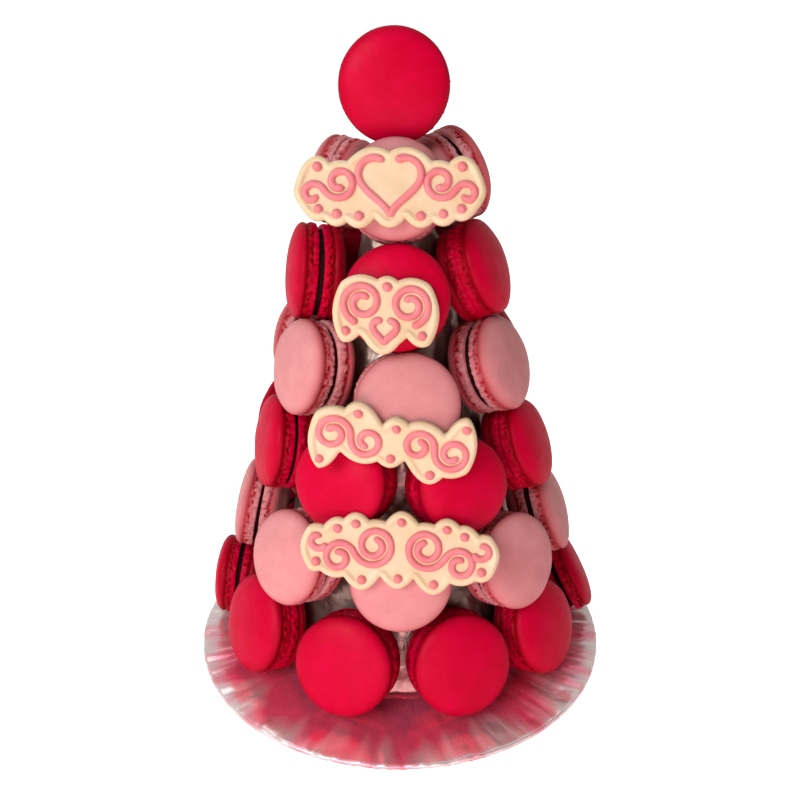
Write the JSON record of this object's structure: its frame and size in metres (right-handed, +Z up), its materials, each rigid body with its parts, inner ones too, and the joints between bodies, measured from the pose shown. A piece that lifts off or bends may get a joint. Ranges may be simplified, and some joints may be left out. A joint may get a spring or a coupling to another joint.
{
  "type": "macaron tower",
  "caption": "Cone-shaped tower of crimson and pink macarons in alternating rings on a foil-covered round board, with cream scroll-piped plaques down its front.",
  "frame": {"origin": "centre of the round board's underside", "axes": "+Z up through the tower, -Y towards the front with the plaques, +X to the viewer's right"},
  "size_m": [0.203, 0.2031, 0.2876],
  "materials": {
    "crimson_shell": "baked almond meringue shell, satin, with fine pits; matte_plastic stands in",
    "pink_shell": "baked almond meringue shell, satin, with fine pits; matte_plastic stands in",
    "filling": "dark chocolate filling, satin; matte_plastic stands in",
    "cream_plaque": "cream white-chocolate plaque, soft sheen; matte_plastic stands in",
    "pink_piping": "pink chocolate piping, soft sheen; matte_plastic stands in",
    "board_foil": "crinkled bright foil over card",
    "cone_foil": "crumpled dull foil over foam"
  },
  "bodies": {
    "root": {"board": "board_foil", "foil_cone": "cone_foil", "ring1_macaron_0": "pink_shell", "ring1_macaron_1": "pink_shell", "ring1_macaron_2": "pink_shell", "ring2_macaron_0": "crimson_shell", "ring2_macaron_1": "crimson_shell", "ring2_macaron_2": "crimson_shell", "ring2_macaron_3": "crimson_shell", "ring2_macaron_4": "crimson_shell", "ring3_macaron_0": "pink_shell", "ring3_macaron_1": "pink_shell", "ring3_macaron_2": "pink_shell", "ring3_macaron_3": "pink_shell", "ring3_macaron_4": "pink_shell", "ring3_macaron_5": "pink_shell", "ring4_macaron_0": "crimson_shell", "ring4_macaron_1": "crimson_shell", "ring4_macaron_2": "crimson_shell", "ring4_macaron_3": "crimson_shell", "ring4_macaron_4": "crimson_shell", "ring4_macaron_5": "crimson_shell", "ring4_macaron_6": "crimson_shell", "ring5_macaron_0": "pink_shell", "ring5_macaron_1": "pink_shell", "ring5_macaron_2": "pink_shell", "ring5_macaron_3": "pink_shell", "ring5_macaron_4": "pink_shell", "ring5_macaron_5": "pink_shell", "ring5_macaron_6": "pink_shell", "ring5_macaron_7": "pink_shell", "ring6_macaron_0": "crimson_shell", "ring6_macaron_1": "crimson_shell", "ring6_macaron_2": "crimson_shell", "ring6_macaron_3": "crimson_shell", "ring6_macaron_4": "crimson_shell", "ring6_macaron_5": "crimson_shell", "ring6_macaron_6": "crimson_shell", "ring6_macaron_7": "crimson_shell", "ring6_macaron_8": "crimson_shell", "ring6_macaron_9": "crimson_shell", "top_macaron": "crimson_shell", "plaque_1": "cream_plaque", "plaque_2": "cream_plaque", "plaque_3": "cream_plaque", "plaque_4": "cream_plaque"}
  },
  "joints": []
}
